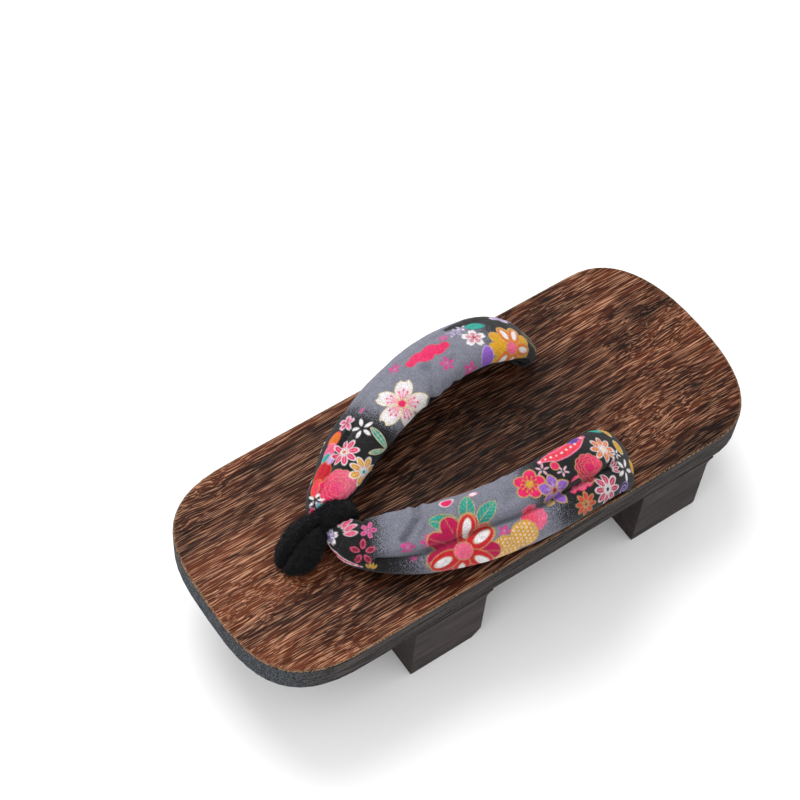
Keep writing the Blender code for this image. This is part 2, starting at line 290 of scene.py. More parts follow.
# Burnt and brushed wood
# grain: cells in a metre, detail, roughness, stretch and shift of each noise that is long along the board;
# dark spots, charring at the heel and painted shade of the straps over the middle, under the near arm and
# round its rear hole: x, y, radius and strength; knots: x, y and radius
boardWood = {
    "grain": {
        "broad": (110.0, 2.0, 0.5, 0.06),
        "streak": (620.0, 2.0, 0.6, 0.022),
        "fleck": (1900.0, 1.0, 0.5, 0.030),
        "pore": (2100.0, 1.0, 0.5, 0.028, (0.3, 0.2, 0.1)),
        "line": (3300.0, 1.0, 0.5, 0.020, (0.1, 0.4, 0.2)),
        "side": (800.0, 3.0, 0.65, 0.035),
    },
    "ground": ("090302", "220c05", "3f1b0c", "5c2c15"), "fleck": "6b3a24", "line": "ab7d61",
    # rim is the colour of the painted edge highlight on the board's rounded edge
    "groove": "090302", "knot": "170f0d", "rim": "856c54",
    "side": ("151313", "4e4948"), "toeSide": ("121416", "565b61"),
    "charAndShade": ((-0.004, 0.002, 0.052, 0.72), (-0.010, 0.092, 0.007, 0.55), (0.020, 0.094, 0.016, 0.42),
                (0.034, 0.055, 0.020, 0.40), (0.036, -0.040, 0.022, 0.55)),
    "knots": ((-0.0487, 0.0773, 0.0022), (0.0230, 0.1047, 0.0026), (0.012, -0.116, 0.0012)),
}
toothWood = {"fibre": ("110d0c", "292220", "443a38"), "longFace": "1c0f09"}


def spotMask(tree, x, y, middleX, middleY, radius, stretch=2.2):
    # 1 at the spot's middle, falling to 0 at its radius, and longer along the board than across it
    across = calc(tree, "SUBTRACT", x, middleX)
    along = calc(tree, "DIVIDE", calc(tree, "SUBTRACT", y, middleY), stretch)
    squares = calc(tree, "MULTIPLY_ADD", across, across, calc(tree, "MULTIPLY", along, along))
    return between(tree, calc(tree, "SQRT", squares), 0.0, radius, 1.0, 0.0)


def drifted(tree, place, cell, amount, strength=1.0):
    # pushes the coordinates about by slow noise, so that the grain runs unevenly
    drift = noiseOf(tree, place, 1 / cell, 1.0, along=0.5, output=1)
    centred = addNode(tree, "VectorMath", {0: drift, 1: (0.5, 0.5, 0.5)}, operation="SUBTRACT").outputs[0]
    share = addNode(tree, "VectorMath", {0: centred, "Scale": calc(tree, "MULTIPLY", strength, amount)},
                    operation="SCALE").outputs[0]
    return addNode(tree, "VectorMath", {0: place, 1: share}, operation="ADD").outputs[0]


def makeBoardWood():
    material, tree, shader, place = startMaterial("burnt board wood", {"Specular IOR Level": 0.08})
    x, y, z = addNode(tree, "SeparateXYZ", {0: place}).outputs
    patch = noiseOf(tree, place, 34.0, along=0.5)
    figure = between(tree, noiseOf(tree, place, 26.0, 1.0, along=0.6), 0.52, 0.64)
    grain = drifted(tree, drifted(tree, place, 0.040, 0.0060), 0.0075, 0.0034, figure)
    broad, streak, fleck, pore, line, fine = (noiseOf(tree, grain, *values)
                                              for values in boardWood["grain"].values())
    toe = between(tree, y, -0.125, -0.030, 1.0, 0.0)
    heel = between(tree, y, 0.050, 0.115)
    level = weighted(tree, (broad, 1.0), (streak, 0.50), (patch, 0.85), (toe, 0.10), (heel, 0.09),
                     (1.0, -0.76))
    # darker spots on the top: charring at the heel, and painted shade of the straps over the middle, under
    # the near arm and round its rear hole
    for *spot, strength in boardWood["charAndShade"]:
        level = weighted(tree, (level, 1.0), (spotMask(tree, x, y, *spot), -0.35 * strength))
    top = ramp(tree, level, (0.12, 0.32, 0.52, 0.78), boardWood["ground"])
    # bright worn ridges and dark grooves between them
    ridges = calc(tree, "MULTIPLY", between(tree, fleck, 0.53, 0.61, 0.0, 0.50),
                  between(tree, level, 0.05, 0.60, 0.40, 0.92))
    lines = calc(tree, "MULTIPLY", between(tree, line, 0.55, 0.63),
                 between(tree, level, 0.10, 0.65, 0.28, 1.0))
    grooves = between(tree, pore, 0.45, 0.37, 0.0, 0.70)
    for share, tone in ((ridges, "fleck"), (lines, "line"), (grooves, "groove")):
        top = blendColour(tree, share, top, rgba(boardWood[tone]))
    for spot in boardWood["knots"]:
        top = blendColour(tree, spotMask(tree, x, y, *spot, stretch=1.6), top, rgba(boardWood["knot"]))
    # the sides are charred greyer, and pebbled at the toe
    mottle = noiseOf(tree, place, 1300.0, 3.0, 0.7)
    side = ramp(tree, weighted(tree, (fine, 0.65), (mottle, 0.35)), (0.38, 0.62), boardWood["side"])
    pebbled = ramp(tree, mottle, (0.42, 0.60), boardWood["toeSide"])
    side = blendColour(tree, between(tree, y, -0.124, -0.096, 0.85, 0.0), side, pebbled)
    # a painted highlight: a bright, broken line where the rounded edge turns from the side to the top
    upward = addNode(tree, "SeparateXYZ", {0: place.node.outputs["Normal"]}).outputs[2]
    isTop = between(tree, upward, 0.50, 0.80)
    rim = calc(tree, "MULTIPLY", between(tree, upward, 0.35, 0.70),
               between(tree, upward, 0.92, 0.998, 1.0, 0.0))
    rim = calc(tree, "MULTIPLY", rim, between(tree, mottle, 0.40, 0.58))
    colour = blendColour(tree, rim, blendColour(tree, isTop, side, top), rgba(boardWood["rim"]))
    gloss = calc(tree, "MULTIPLY", isTop, between(tree, streak, 0.4, 0.6, 0.22, 0.36))
    put(tree, weighted(tree, (1.0, 0.80), (gloss, -1.0)), shader.inputs["Roughness"])
    connect(tree, shader, colour, weighted(tree, (fleck, 0.6), (pore, 0.6), (streak, 0.5)), 0.6, 0.0005)
    return material


def makeToothWood():
    material, tree, shader, place = startMaterial("burnt tooth wood",
                                                  {"Roughness": 0.75, "Specular IOR Level": 0.35})
    grain = drifted(tree, place, 0.040, 0.0040)
    # fibres run along the board, so that they are lines on the ends of a tooth and pores on its long faces
    fibre = noiseOf(tree, grain, 900.0, 3.0, 0.65, 0.045)
    mottle = noiseOf(tree, place, 900.0, 3.0, 0.6)
    slow = noiseOf(tree, grain, 160.0, 1.0, along=0.12)
    level = weighted(tree, (fibre, 0.65), (mottle, 0.10), (slow, 0.25))
    colour = ramp(tree, level, (0.36, 0.50, 0.64), toothWood["fibre"])
    # the long faces are darker and browner than the ends
    lengthwise = addNode(tree, "SeparateXYZ", {0: place.node.outputs["Normal"]}).outputs[1]
    longFace = between(tree, calc(tree, "ABSOLUTE", lengthwise), 0.4, 0.8, 0.0, 0.60)
    colour = blendColour(tree, longFace, colour, rgba(toothWood["longFace"]))
    connect(tree, shader, colour, level, 0.6, 0.0006)
    return material


refinish(("board",), makeBoardWood())
refinish(("front_tooth", "rear_tooth"), makeToothWood())
print("wood done")


# Black pile and cord
def makePile(name):
    material, tree, shader, place = startMaterial(name, {
        "Roughness": 0.95, "Specular IOR Level": 0.15, "Sheen Weight": 0.10, "Sheen Roughness": 0.4,
        "Sheen Tint": (0.55, 0.55, 0.6, 1.0),
    })
    level = weighted(tree, (noiseOf(tree, place, 1600.0, 3.0, 0.7), 0.7), (noiseOf(tree, place, 260.0), 0.3))
    colour = ramp(tree, level, (0.38, 0.60, 0.80), ("060607", "101012", "2a2a2e"))
    connect(tree, shader, colour, level, 0.9, 0.0008)
    return material


def makeCordMaterial():
    material, tree, shader, place = startMaterial("black cord", {"Roughness": 0.8, "Sheen Weight": 0.2})
    wave = addNode(tree, "TexWave", {"Vector": place, "Scale": 190.0, "Distortion": 1.5, "Detail": 1.0},
                   bands_direction="DIAGONAL").outputs[1]
    connect(tree, shader, ramp(tree, wave, (0.2, 0.8), ("0b0b0d", "2a2a2e")), wave, 0.8, 0.0006)
    return material


pileMaterial = makePile("black pile")
liningMaterial = makePile("black lining")
refinish(("toe_knot", "rear_knot_left", "rear_knot_right"), makeCordMaterial())

# Padded strap arms
strap = {
    "width": 0.0290, "thickness": 0.0160, "rise": 0.0180, "roundness": 2.3, "underside": 0.80,
    "creaseAngle": 70.0, "creaseDepth": 0.0022, "creaseSpread": 12.0, "gridStep": 0.00036,
    "neckWidth": 0.0112, "neckThickness": 0.0056, "neckBack": 0.162, "neckRise": 0.455, "neckReach": 0.0006,
    "seamInner": 198.0, "seamOuter": 342.0, "seamDepth": 0.0005, "seamWidth": 0.0007,
    "gathers": 11, "gatherDepth": 0.00032, "gatherFront": 0.012, "gatherRear": 0.007,
    # depth and cell of the noise that makes the filling uneven
    "uneven": ((0.00028, 0.011), (0.00014, 0.0045), (0.00003, 0.0011)),
    # the long crease: depth share and spread of its troughs; depth share, place and spread of its lobes
    "troughs": ((0.72, 0.0011), (0.34, 0.0034)), "innerLobe": (0.30, 0.0036, 0.0024),
    "outerLobe": (0.10, 0.0050, 0.0030),
}
# back: share of the way from the toe hole to the rear holes; out: share of half the hole spacing; rise, width
# and thick: shares of the strap's sizes; roll: degrees, outer edge down; crease: share of its depth
armRows = (
    (0.343, 0.694, 0.60, 0.94, 0.92, 25.0, 1.0),
    (0.458, 0.870, 0.74, 0.99, 0.96, 24.0, 1.0),
    (0.583, 0.990, 0.89, 1.01, 0.99, 22.0, 1.0),
    (0.716, 1.056, 1.00, 1.02, 1.00, 20.0, 1.0),
    (0.834, 1.050, 0.967, 1.00, 1.00, 20.0, 0.9),
    (0.925, 1.015, 0.79, 1.00, 0.98, 19.0, 0.5),
    (0.980, 1.000, 0.50, 0.96, 0.92, 16.0, 0.0),
    (0.998, 1.000, 0.20, 0.90, 0.82, 12.0, 0.0),
)
# the front rows of each side: the near arm's tip is blunt and close to the thong, the far arm's is drawn in
frontRows = {
    -1.0: (
        (0.149, 0.208, 0.455, 0.43, 0.56, 8.0, 0.0),
        (0.174, 0.325, 0.47, 0.56, 0.74, 19.0, 0.2),
        (0.252, 0.488, 0.51, 0.79, 0.86, 23.0, 0.7),
    ),
    1.0: (
        (0.157, 0.045, 0.455, 0.44, 0.58, 4.0, 0.0),
        (0.158, 0.095, 0.455, 0.52, 0.64, 7.0, 0.0),
        (0.166, 0.190, 0.46, 0.60, 0.70, 12.0, 0.0),
        (0.184, 0.322, 0.47, 0.70, 0.78, 19.0, 0.2),
        (0.254, 0.493, 0.51, 0.85, 0.86, 23.0, 0.7),
    ),
}
footShares = {"width": 0.82, "thick": 0.70, "roll": 10.0}
reach = holes["rearY"] - holes["toeY"]
neckY = holes["toeY"] + strap["neckBack"] * reach
neckZ = boardTop + strap["neckRise"] * strap["rise"]


def armTable(side):
    # rows in metres: x from the middle, y, z, half width, half thickness, roll, crease depth
    neck = (neckY, neckZ, strap["neckWidth"] / 2, strap["neckThickness"] / 2, 0.0, 0.0)
    rows = [(clearance / 4, *neck), (strap["neckReach"], *neck)]
    for back, out, rise, width, thick, roll, crease in frontRows[side] + armRows:
        rows.append((out * holes["halfSpacing"], holes["toeY"] + back * reach,
                     boardTop + rise * strap["rise"], width * strap["width"] / 2,
                     thick * strap["thickness"] / 2, roll, crease))
    rows.append((holes["halfSpacing"], holes["rearY"], boardTop + clearance,
                 footShares["width"] * strap["width"] / 2, footShares["thick"] * strap["thickness"] / 2,
                 footShares["roll"], 0.0))
    return np.array(rows)


def strapSection(turn, halfWidth, halfThickness):
    # a superellipse, flatter on its underside
    across, lift = superellipse(turn, halfWidth, halfThickness, strap["roundness"])
    return across, np.where(lift < 0, lift * strap["underside"], lift)


def evenAngles(step):
    # angles whose points on the strap's usual section are equal lengths apart
    dense = np.radians(np.linspace(0.0, 360.0, 2881))
    across, lift = strapSection(dense, strap["width"] / 2, strap["thickness"] / 2)
    run = np.concatenate(((0.0,), np.cumsum(np.hypot(np.diff(across), np.diff(lift)))))
    count = int(run[-1] / step)
    return np.degrees(np.interp(np.arange(count) / count * run[-1], run, dense))


def armGrid(side, creaseShare):
    # sections carried along the arm; their wide and thick axes turn with the roll
    along, rows = evenRows(smoothRows(armTable(side), 48), strap["gridStep"])
    angles = evenAngles(strap["gridStep"])
    path = rows[:, :3]
    tangent = unit(np.gradient(path, axis=0))
    plan = unit(tangent[:, :2])
    outward = np.column_stack((plan[:, 1], -plan[:, 0], np.zeros(len(plan))))
    upward = np.cross(outward, tangent)
    roll = np.radians(rows[:, 5])[:, None]
    wide = outward * np.cos(roll) - upward * np.sin(roll)
    thick = upward * np.cos(roll) + outward * np.sin(roll)
    across, lift = strapSection(np.radians(angles)[None, :], rows[:, 3:4], rows[:, 4:5])
    # the long crease: a broad soft trough with a narrower one at its bottom
    away = angles[None, :] - strap["creaseAngle"]
    trough = 0.75 * gaussian(away, strap["creaseSpread"]) + 0.45 * gaussian(away, 4.5)
    depth = strap["creaseDepth"] * creaseShare * rows[:, 6:7]
    keep = 1 - depth * trough / np.hypot(across, lift)
    sideways = (across * keep)[..., None] * wide[:, None]
    return path[:, None] + sideways + (lift * keep)[..., None] * thick[:, None], along, angles


def pick(arm, x, y):
    # the surface point of the arm that the picture shows at this pixel
    gap = np.linalg.norm(arm["pixels"] - np.array((x, y)), axis=-1)
    cost = np.where(arm["facing"] > 0.12, gap, gap + 1000.0)
    return np.unravel_index(np.argmin(cost), cost.shape)


def readGrid(arm):
    # pixels, normals and how far each point faces the camera
    grid = arm["grid"]
    arm["normal"] = gridNormals(grid) * arm["side"]
    arm["pixels"] = toPicture(grid)
    arm["facing"] = (arm["normal"] * unit(np.array(view["place"]) - grid)).sum(2)


def nearLine(arm, corners):
    # each surface point's distance from a line through picked points, its run along the line, the line's
    # length, and whether the point is on the arm's inner side
    spots = [pick(arm, x, y) for x, y in corners]
    nearest = np.full(arm["grid"].shape[:2], 1.0)
    run, inside, total = np.zeros_like(nearest), np.zeros_like(nearest), 0.0
    for first, second in zip(spots[:-1], spots[1:]):
        start = arm["grid"][first]
        step = arm["grid"][second] - start
        share = np.clip(((arm["grid"] - start) @ step) / (step @ step), 0, 1)
        away = arm["grid"] - start - share[..., None] * step
        gap = np.linalg.norm(away, axis=2)
        closer = gap < nearest
        run = np.where(closer, total + share * np.linalg.norm(step), run)
        inside = np.where(closer, (away @ np.cross(arm["normal"][first], step)) * arm["side"] > 0, inside)
        nearest = np.minimum(nearest, gap)
        total += np.linalg.norm(step)
    return nearest, run, total, inside


def foldAlong(arm, corners, depth, spread):
    # soft trough with a low ridge on each flank
    nearest = nearLine(arm, corners)[0]
    return depth * (0.42 * gaussian(nearest - 1.9 * spread, spread) - gaussian(nearest, spread))


def longCrease(arm, corners, depth):
    # a narrow deep trough in a wide shallow one; the lobe on the inner side swells over its edge
    nearest, run, total, inside = nearLine(arm, corners)
    arm["inside"] = inside
    shape = -sum(share * gaussian(nearest, spread) for share, spread in strap["troughs"])
    for where, (share, place, spread) in ((inside, strap["innerLobe"]), (1 - inside, strap["outerLobe"])):
        shape = shape + share * where * gaussian(nearest - place, spread)
    return depth * shape


# folds: picture points along each, depth and spread in metres; a negative depth raises a bump
farFolds = (
    (((426, 368), (434, 385), (432, 401)), 0.0014, 0.0017),
    (((452, 360), (454, 384)), 0.0008, 0.0016),
    (((352, 470), (366, 478)), 0.0004, 0.0018),
    (((402, 372), (398, 396)), 0.0003, 0.0020),
    (((500, 330), (497, 350)), 0.0004, 0.0022),
)
nearCrease = ((378, 560), (400, 558), (425, 552), (447, 544), (470, 534), (490, 526), (515, 517), (532, 509),
              (548, 503), (562, 494), (580, 484), (598, 476), (609, 468))
farCrease = ((349, 430), (343, 440), (334, 456), (326, 474), (320, 492))
nearFolds = (
    (((416, 507), (419, 518), (405, 541)), 0.0020, 0.0015),
    (((372, 519), (373, 524)), -0.0006, 0.0022),
    (((503, 479), (507, 486)), -0.0006, 0.0024),
    (((448, 503), (446, 520)), 0.0008, 0.0018),
    (((430, 551), (446, 536), (452, 528)), 0.0007, 0.0014),
    (((556, 452), (560, 470)), 0.0004, 0.0022),
    (((345, 528), (352, 541)), 0.0007, 0.0018),
    (((520, 474), (512, 500)), 0.0006, 0.0022),
    (((470, 541), (474, 556)), 0.0003, 0.0020),
)


def shapeArm(side, folds, crease, creaseDepth, creaseShare, seed):
    grid, along, angles = armGrid(side, creaseShare)
    share = along / along[-1]
    grid = grid * np.array((side, 1.0, 1.0)) + np.array((holes["x"], 0.0, 0.0))
    arm = {"grid": grid, "share": share, "along": along, "angles": angles, "side": side}
    readGrid(arm)
    push = np.zeros(grid.shape[:2])
    for corners, depth, spread in folds:
        push += foldAlong(arm, corners, depth, spread)
    push += longCrease(arm, crease, creaseDepth)
    # gathers where the cloth is drawn into the thong and into the rear hole
    ends = np.exp(-along / strap["gatherFront"]) + np.exp(-(along[-1] - along) / strap["gatherRear"])
    waves = np.cos(np.radians(angles) * strap["gathers"] + seed)
    push += strap["gatherDepth"] * ends[:, None] * waves[None, :]
    for k, (depth, cell) in enumerate(strap["uneven"]):
        push += depth * valueNoise(grid, cell, seed + k)
    # seams between the cloth and the lining
    inner = strap["seamInner"] - 26.0 * np.exp(-(share / 0.30) ** 2)
    arm["inner"], arm["outer"] = inner, strap["seamOuter"]
    roundRun = np.linalg.norm(np.roll(grid, -1, 1) - grid, axis=2).mean(1)[:, None]
    perDegree = roundRun * len(angles) / 360.0
    for seam in (inner[:, None], arm["outer"]):
        push -= strap["seamDepth"] * gaussian((angles[None, :] - seam) * perDegree, strap["seamWidth"])
    push[[0, 1, -1]] = 0.0
    arm["grid"] = grid + push[..., None] * arm["normal"]
    readGrid(arm)
    return arm


farArm = shapeArm(-1.0, farFolds, farCrease, 0.0016, 0.30, 3)
nearArm = shapeArm(1.0, nearFolds, nearCrease, 0.0036, 0.15, 11)
print("arms shaped", nearArm["grid"].shape, farArm["grid"].shape)

# Print on the cloth
inks = {
    "black": "121113", "grey": "828391", "white": "f2ecee", "cream": "ecdcb4", "pink": "f08db0",
    "orchid": "d24a92", "salmon": "f0668a", "coral": "ee3a52", "hotPink": "e82166", "magenta": "bd0a4e",
    "red": "cf1d2e", "darkRed": "8c1f36", "purple": "673aa0", "violet": "935fc6", "lilac": "c2aadd",
    "orange": "e27214", "amber": "dda214", "gold": "c9a668", "teal": "1fa999", "deepTeal": "1f7f7c",
}
inkStrength = 0.95  # the light is strong, so that the inks come out at their own colours
inkValues = {name: paint(code) * inkStrength for name, code in inks.items()}
softEdge = 0.00038  # an ink fades out over this length at its edge


def penFor(arm, where):
    # lays ink over what is there; outsideBy is the signed distance from the shape's edge
    def lay(outsideBy, ink, strength=1.0):
        amount = np.clip(0.5 - outsideBy / softEdge, 0, 1) * strength
        before = arm["cover"][where]
        after = before + amount * (1 - before)
        old = arm["colour"][where] * (before * (1 - amount))[:, None]
        mixed = (old + inkValues[ink] * amount[:, None]) / np.maximum(after, 1e-6)[:, None]
        arm["colour"][where] = np.where(after[:, None] > 0, mixed, 0.0)
        arm["cover"][where] = after
    return lay


def spotOn(arm, i, j, turn, size):
    # the pen round a surface point, with straight distances and bearings told from the picture's right
    middle, normal = arm["grid"][i, j], arm["normal"][i, j]
    right = cameraAxes()[0]
    ahead = unit(right - normal * (right @ normal))
    offset = arm["grid"] - middle
    distance = np.linalg.norm(offset, axis=2)
    where = (distance < size) & ((arm["normal"] @ normal) > -0.1)
    offset = offset[where]
    angle = np.arctan2(offset @ np.cross(normal, ahead), offset @ ahead) - math.radians(turn)
    return penFor(arm, where), distance[where], angle


def straight(r, angle):
    # distances ahead and aside
    return r * np.cos(angle), r * np.sin(angle)


def offBeat(value, spacing):
    # how far a value is from the nearest multiple of the spacing
    return value - np.round(value / spacing) * spacing


def ovalEdge(ahead, aside, long, wide, radius):
    # signed distance from an oval's edge, true at its flanks; long and wide are shares of the radius
    return (np.hypot(ahead / long, aside / wide) - radius) * wide


def outlined(lay, edge, row, rimWidth):
    lay(edge, row["rim"])
    lay(edge + rimWidth, row["fill"])


# far: the petals' middle; long and wide: their half sizes, all as shares of the radius; power 2 is an oval
flowerColumns = ("petals", "far", "long", "wide", "power", "notch", "rays")
flowerKinds = {
    "cherry": (5, 0.58, 0.42, 0.31, 2.0, 0.13, 3),
    "slim": (5, 0.62, 0.38, 0.17, 1.8, 0.0, 0),
    "drops": (5, 0.62, 0.38, 0.22, 1.7, 0.0, 0),
    "small": (5, 0.60, 0.40, 0.26, 2.0, 0.10, 0),
    "plum": (5, 0.57, 0.43, 0.42, 2.0, 0.0, 2),
    "mum": (8, 0.60, 0.40, 0.22, 2.0, 0.0, 1),
    "bell": (5, 0.56, 0.46, 0.37, 1.5, 0.0, 2),
    "fancy": (9, 0.66, 0.34, 0.27, 2.2, 0.0, 0),
}


def petalEdge(r, angle, radius, shape):
    # signed distance from one petal's edge, with every sector folded onto the first
    ahead, aside = straight(r, offBeat(angle, 2 * math.pi / shape["petals"]))
    u = np.abs(ahead - shape["far"] * radius) / (shape["long"] * radius)
    v = np.abs(aside) / (shape["wide"] * radius)
    edge = ((u ** shape["power"] + v ** shape["power"]) ** (1 / shape["power"]) - 1) * shape["wide"] * radius
    notch = np.hypot(ahead - radius * 1.02, aside) - radius * shape["notch"]
    return np.maximum(edge, -notch) if shape["notch"] else edge, ahead, aside


def flower(spot, row, radius):
    # petals with a rim, a second ink towards the heart, then veins or rays with dotted tips
    shape = dict(zip(flowerColumns, flowerKinds[row["kind"]]))
    lay, r, angle = spot(radius * 1.15)
    edge, ahead, aside = petalEdge(r, angle, radius, shape)
    rimWidth = min(max(radius * 0.075, 0.00020), 0.00050, radius * shape["wide"] * 0.24)
    lay(np.minimum(edge, r - radius * 0.22) if shape["rays"] else edge, row["rim"])
    lay(edge + rimWidth, row["fill"])
    if row["inner"]:
        lay(edge + rimWidth, row["inner"], np.clip(1.20 - r / (radius * 0.55), 0, 1) * 0.85)
    if row["kind"] == "mum":
        vein = np.maximum(np.abs(aside) - 0.00013, np.abs(ahead - radius * 0.52) - radius * 0.22)
        lay(vein, row["rim"], 0.55)
    else:
        for lean in np.linspace(-0.30, 0.30, shape["rays"]):
            tip = radius * (0.56 - 0.25 * abs(lean))
            gap = np.abs(aside * math.cos(lean) - ahead * math.sin(lean))
            lay(np.maximum(gap - 0.00015, r - tip), row["heart"], 0.9)
            dot = np.hypot(ahead - tip * math.cos(lean), aside - tip * math.sin(lean))
            lay(dot - min(0.00045, radius * 0.05), row["heart"])
    if row["heart"]:
        lay(r - radius * 0.13, row["heart"])


def fancy(spot, row, radius):
    # plain petals all round, five more over them with a white oval each, gold lines, a round heart
    lay, r, angle = spot(radius * 1.1)
    edge, ahead, aside = petalEdge(r, angle, radius, dict(zip(flowerColumns, flowerKinds["fancy"])))
    lay(np.minimum(edge, r - radius * 0.52), row["rim"])
    lay(np.minimum(edge + 0.0004, r - radius * 0.50), row["inner"])
    lay(np.where(r > radius * 0.5, np.abs(aside) - 0.00012, 1.0), row["rim"], 0.6)
    for bearing in (82.0, 38.0, -27.0, -93.0, -150.0):
        ahead, aside = straight(r, angle - math.radians(bearing))
        white = ovalEdge(ahead - radius * 0.60, aside, 0.24, 0.105, radius)
        outlined(lay, ovalEdge(ahead - radius * 0.53, aside, 0.45, 0.25, radius), row, 0.00028)
        lay(white - 0.00016, row["rim"])
        lay(white, "white")
    lay(r - radius * 0.25, row["rim"])
    lay(r - radius * 0.23, row["heart"])


def scallop(spot, row, radius):
    # a round bloom with a waved edge and rows of fine curved lines, like folded petals
    lay, r, angle = spot(radius * 1.15)
    edge = r - radius * (0.92 + 0.08 * np.abs(np.sin(angle * 5.5)))
    outlined(lay, edge, row, 0.0003)
    lay(edge + 0.0003, row["heart"], np.clip(0.5 + r * np.cos(angle) / radius, 0, 1))
    for share, shift in ((0.72, 0.8), (0.52, 0.2), (0.32, 1.4)):
        arc = radius * (share + 0.09 * np.abs(np.sin((angle + shift) * 4.5)))
        lay(np.abs(r - arc) - 0.00010, row["rim"], 0.75)


def leaf(spot, row, length):
    # width falls to both tips as a sine; a middle vein and slanted side veins
    lay, r, angle = spot(length)
    ahead, aside = straight(r, angle)
    share = np.clip(ahead / length + 0.5, 0, 1)
    half = length * (0.12 if row["kind"] == "blade" else 0.29) * np.sin(math.pi * share ** 0.85) ** 0.75
    edge = np.where(np.abs(ahead) > length / 2, 0.001, np.abs(aside) - half)
    outlined(lay, edge - 0.0001, row, 0.00035)
    if row["inner"]:
        lay(edge + 0.0003, row["inner"], np.clip(0.9 - share, 0, 1))
    lay(np.maximum(np.abs(aside) - 0.00013, edge + 0.0004), row["rim"], 0.9)
    slant = np.abs(offBeat(ahead - np.abs(aside) * 1.1, 0.0021))
    lay(np.maximum(slant - 0.00008, edge + 0.0006), row["rim"], 0.7)


def puff(spot, row, radius):
    # a long cloud of overlapping discs, largest in the middle: ahead, aside and size of each
    lay, r, angle = spot(radius * 1.2)
    ahead, aside = straight(r, angle)
    edge = np.full(r.shape, 1.0)
    for far, above, size in ((-0.72, -0.12, 0.22), (-0.42, 0.04, 0.30), (-0.10, -0.06, 0.36),
                             (0.16, 0.12, 0.34), (0.45, 0.0, 0.28), (0.74, 0.10, 0.20)):
        edge = np.minimum(edge, np.hypot(ahead - far * radius, aside - above * radius) - size * radius)
    outlined(lay, edge, row, 0.0004)
    lay(np.abs(edge + radius * 0.16) - 0.00009, row["rim"], 0.6)


def dotted(spot, row, radius):
    # a disc filled with rings, every second line of them moved half a step
    lay, r, angle = spot(radius * 1.1)
    ahead, aside = straight(r, angle)
    outlined(lay, r - radius, row, 0.0004)
    step = 0.0017
    moved = np.round(ahead / step) % 2 * step / 2
    ring = np.hypot(offBeat(ahead, step), offBeat(aside - moved, step))
    lay(np.maximum(ring - 0.00050, r - radius + 0.0007), row["heart"], 0.9)
    lay(np.maximum(ring - 0.00020, r - radius + 0.0007), row["fill"])


# width as a share of the length, and the rim's width
ovalKinds = {"oval": (0.55, 0.0003), "disc": (1.0, 0.00035)}


def oval(spot, row, radius):
    lay, r, angle = spot(radius * 1.2)
    wide, rimWidth = ovalKinds[row["kind"]]
    outlined(lay, ovalEdge(*straight(r, angle), 1.0, wide, radius), row, rimWidth)


def swirl(spot, row, radius):
    # a spiral line that widens by a turn's pitch as it goes round
    lay, r, angle = spot(radius * 1.1)
    pitch = radius / 2.2
    gap = np.abs(offBeat(r - pitch * angle / (2 * math.pi), pitch))
    lay(np.maximum(gap - 0.00045, r - radius), row["fill"])
    lay(np.maximum(gap - 0.00018, r - radius), row["rim"])


def petals(spot, row, radius):
    # slim drops side by side, fanned out from one point
    lay, r, angle = spot(radius * 1.1)
    ahead, aside = straight(r, angle)
    ahead = ahead + radius * 0.75
    for lean in (-0.62, -0.22, 0.18, 0.58):
        along, across = straight(np.hypot(ahead, aside), np.arctan2(aside, ahead) - lean)
        outlined(lay, ovalEdge(along - radius * 1.05, across, 0.50, 0.19, radius), row, 0.00018)


def band(arm, corners, width, fill, rim, dots):
    # a ribbon along picked points, narrowed at both ends, with a rim and dots along its middle
    nearest, run, total, inside = nearLine(arm, corners)
    where = nearest < width
    lay, nearest, run = penFor(arm, where), nearest[where], run[where]
    edge = nearest - width / 2 * np.sin(math.pi * np.clip(run / total, 0.04, 0.96)) ** 0.5
    outlined(lay, edge, {"rim": rim, "fill": fill}, 0.0005)
    lay(np.hypot(offBeat(run, 0.0026), nearest) - 0.00055, dots)


shapes = {"leaf": leaf, "blade": leaf, "puff": puff, "oval": oval, "disc": oval, "swirl": swirl,
          "petals": petals, "dotted": dotted, "scallop": scallop, "fancy": fancy}
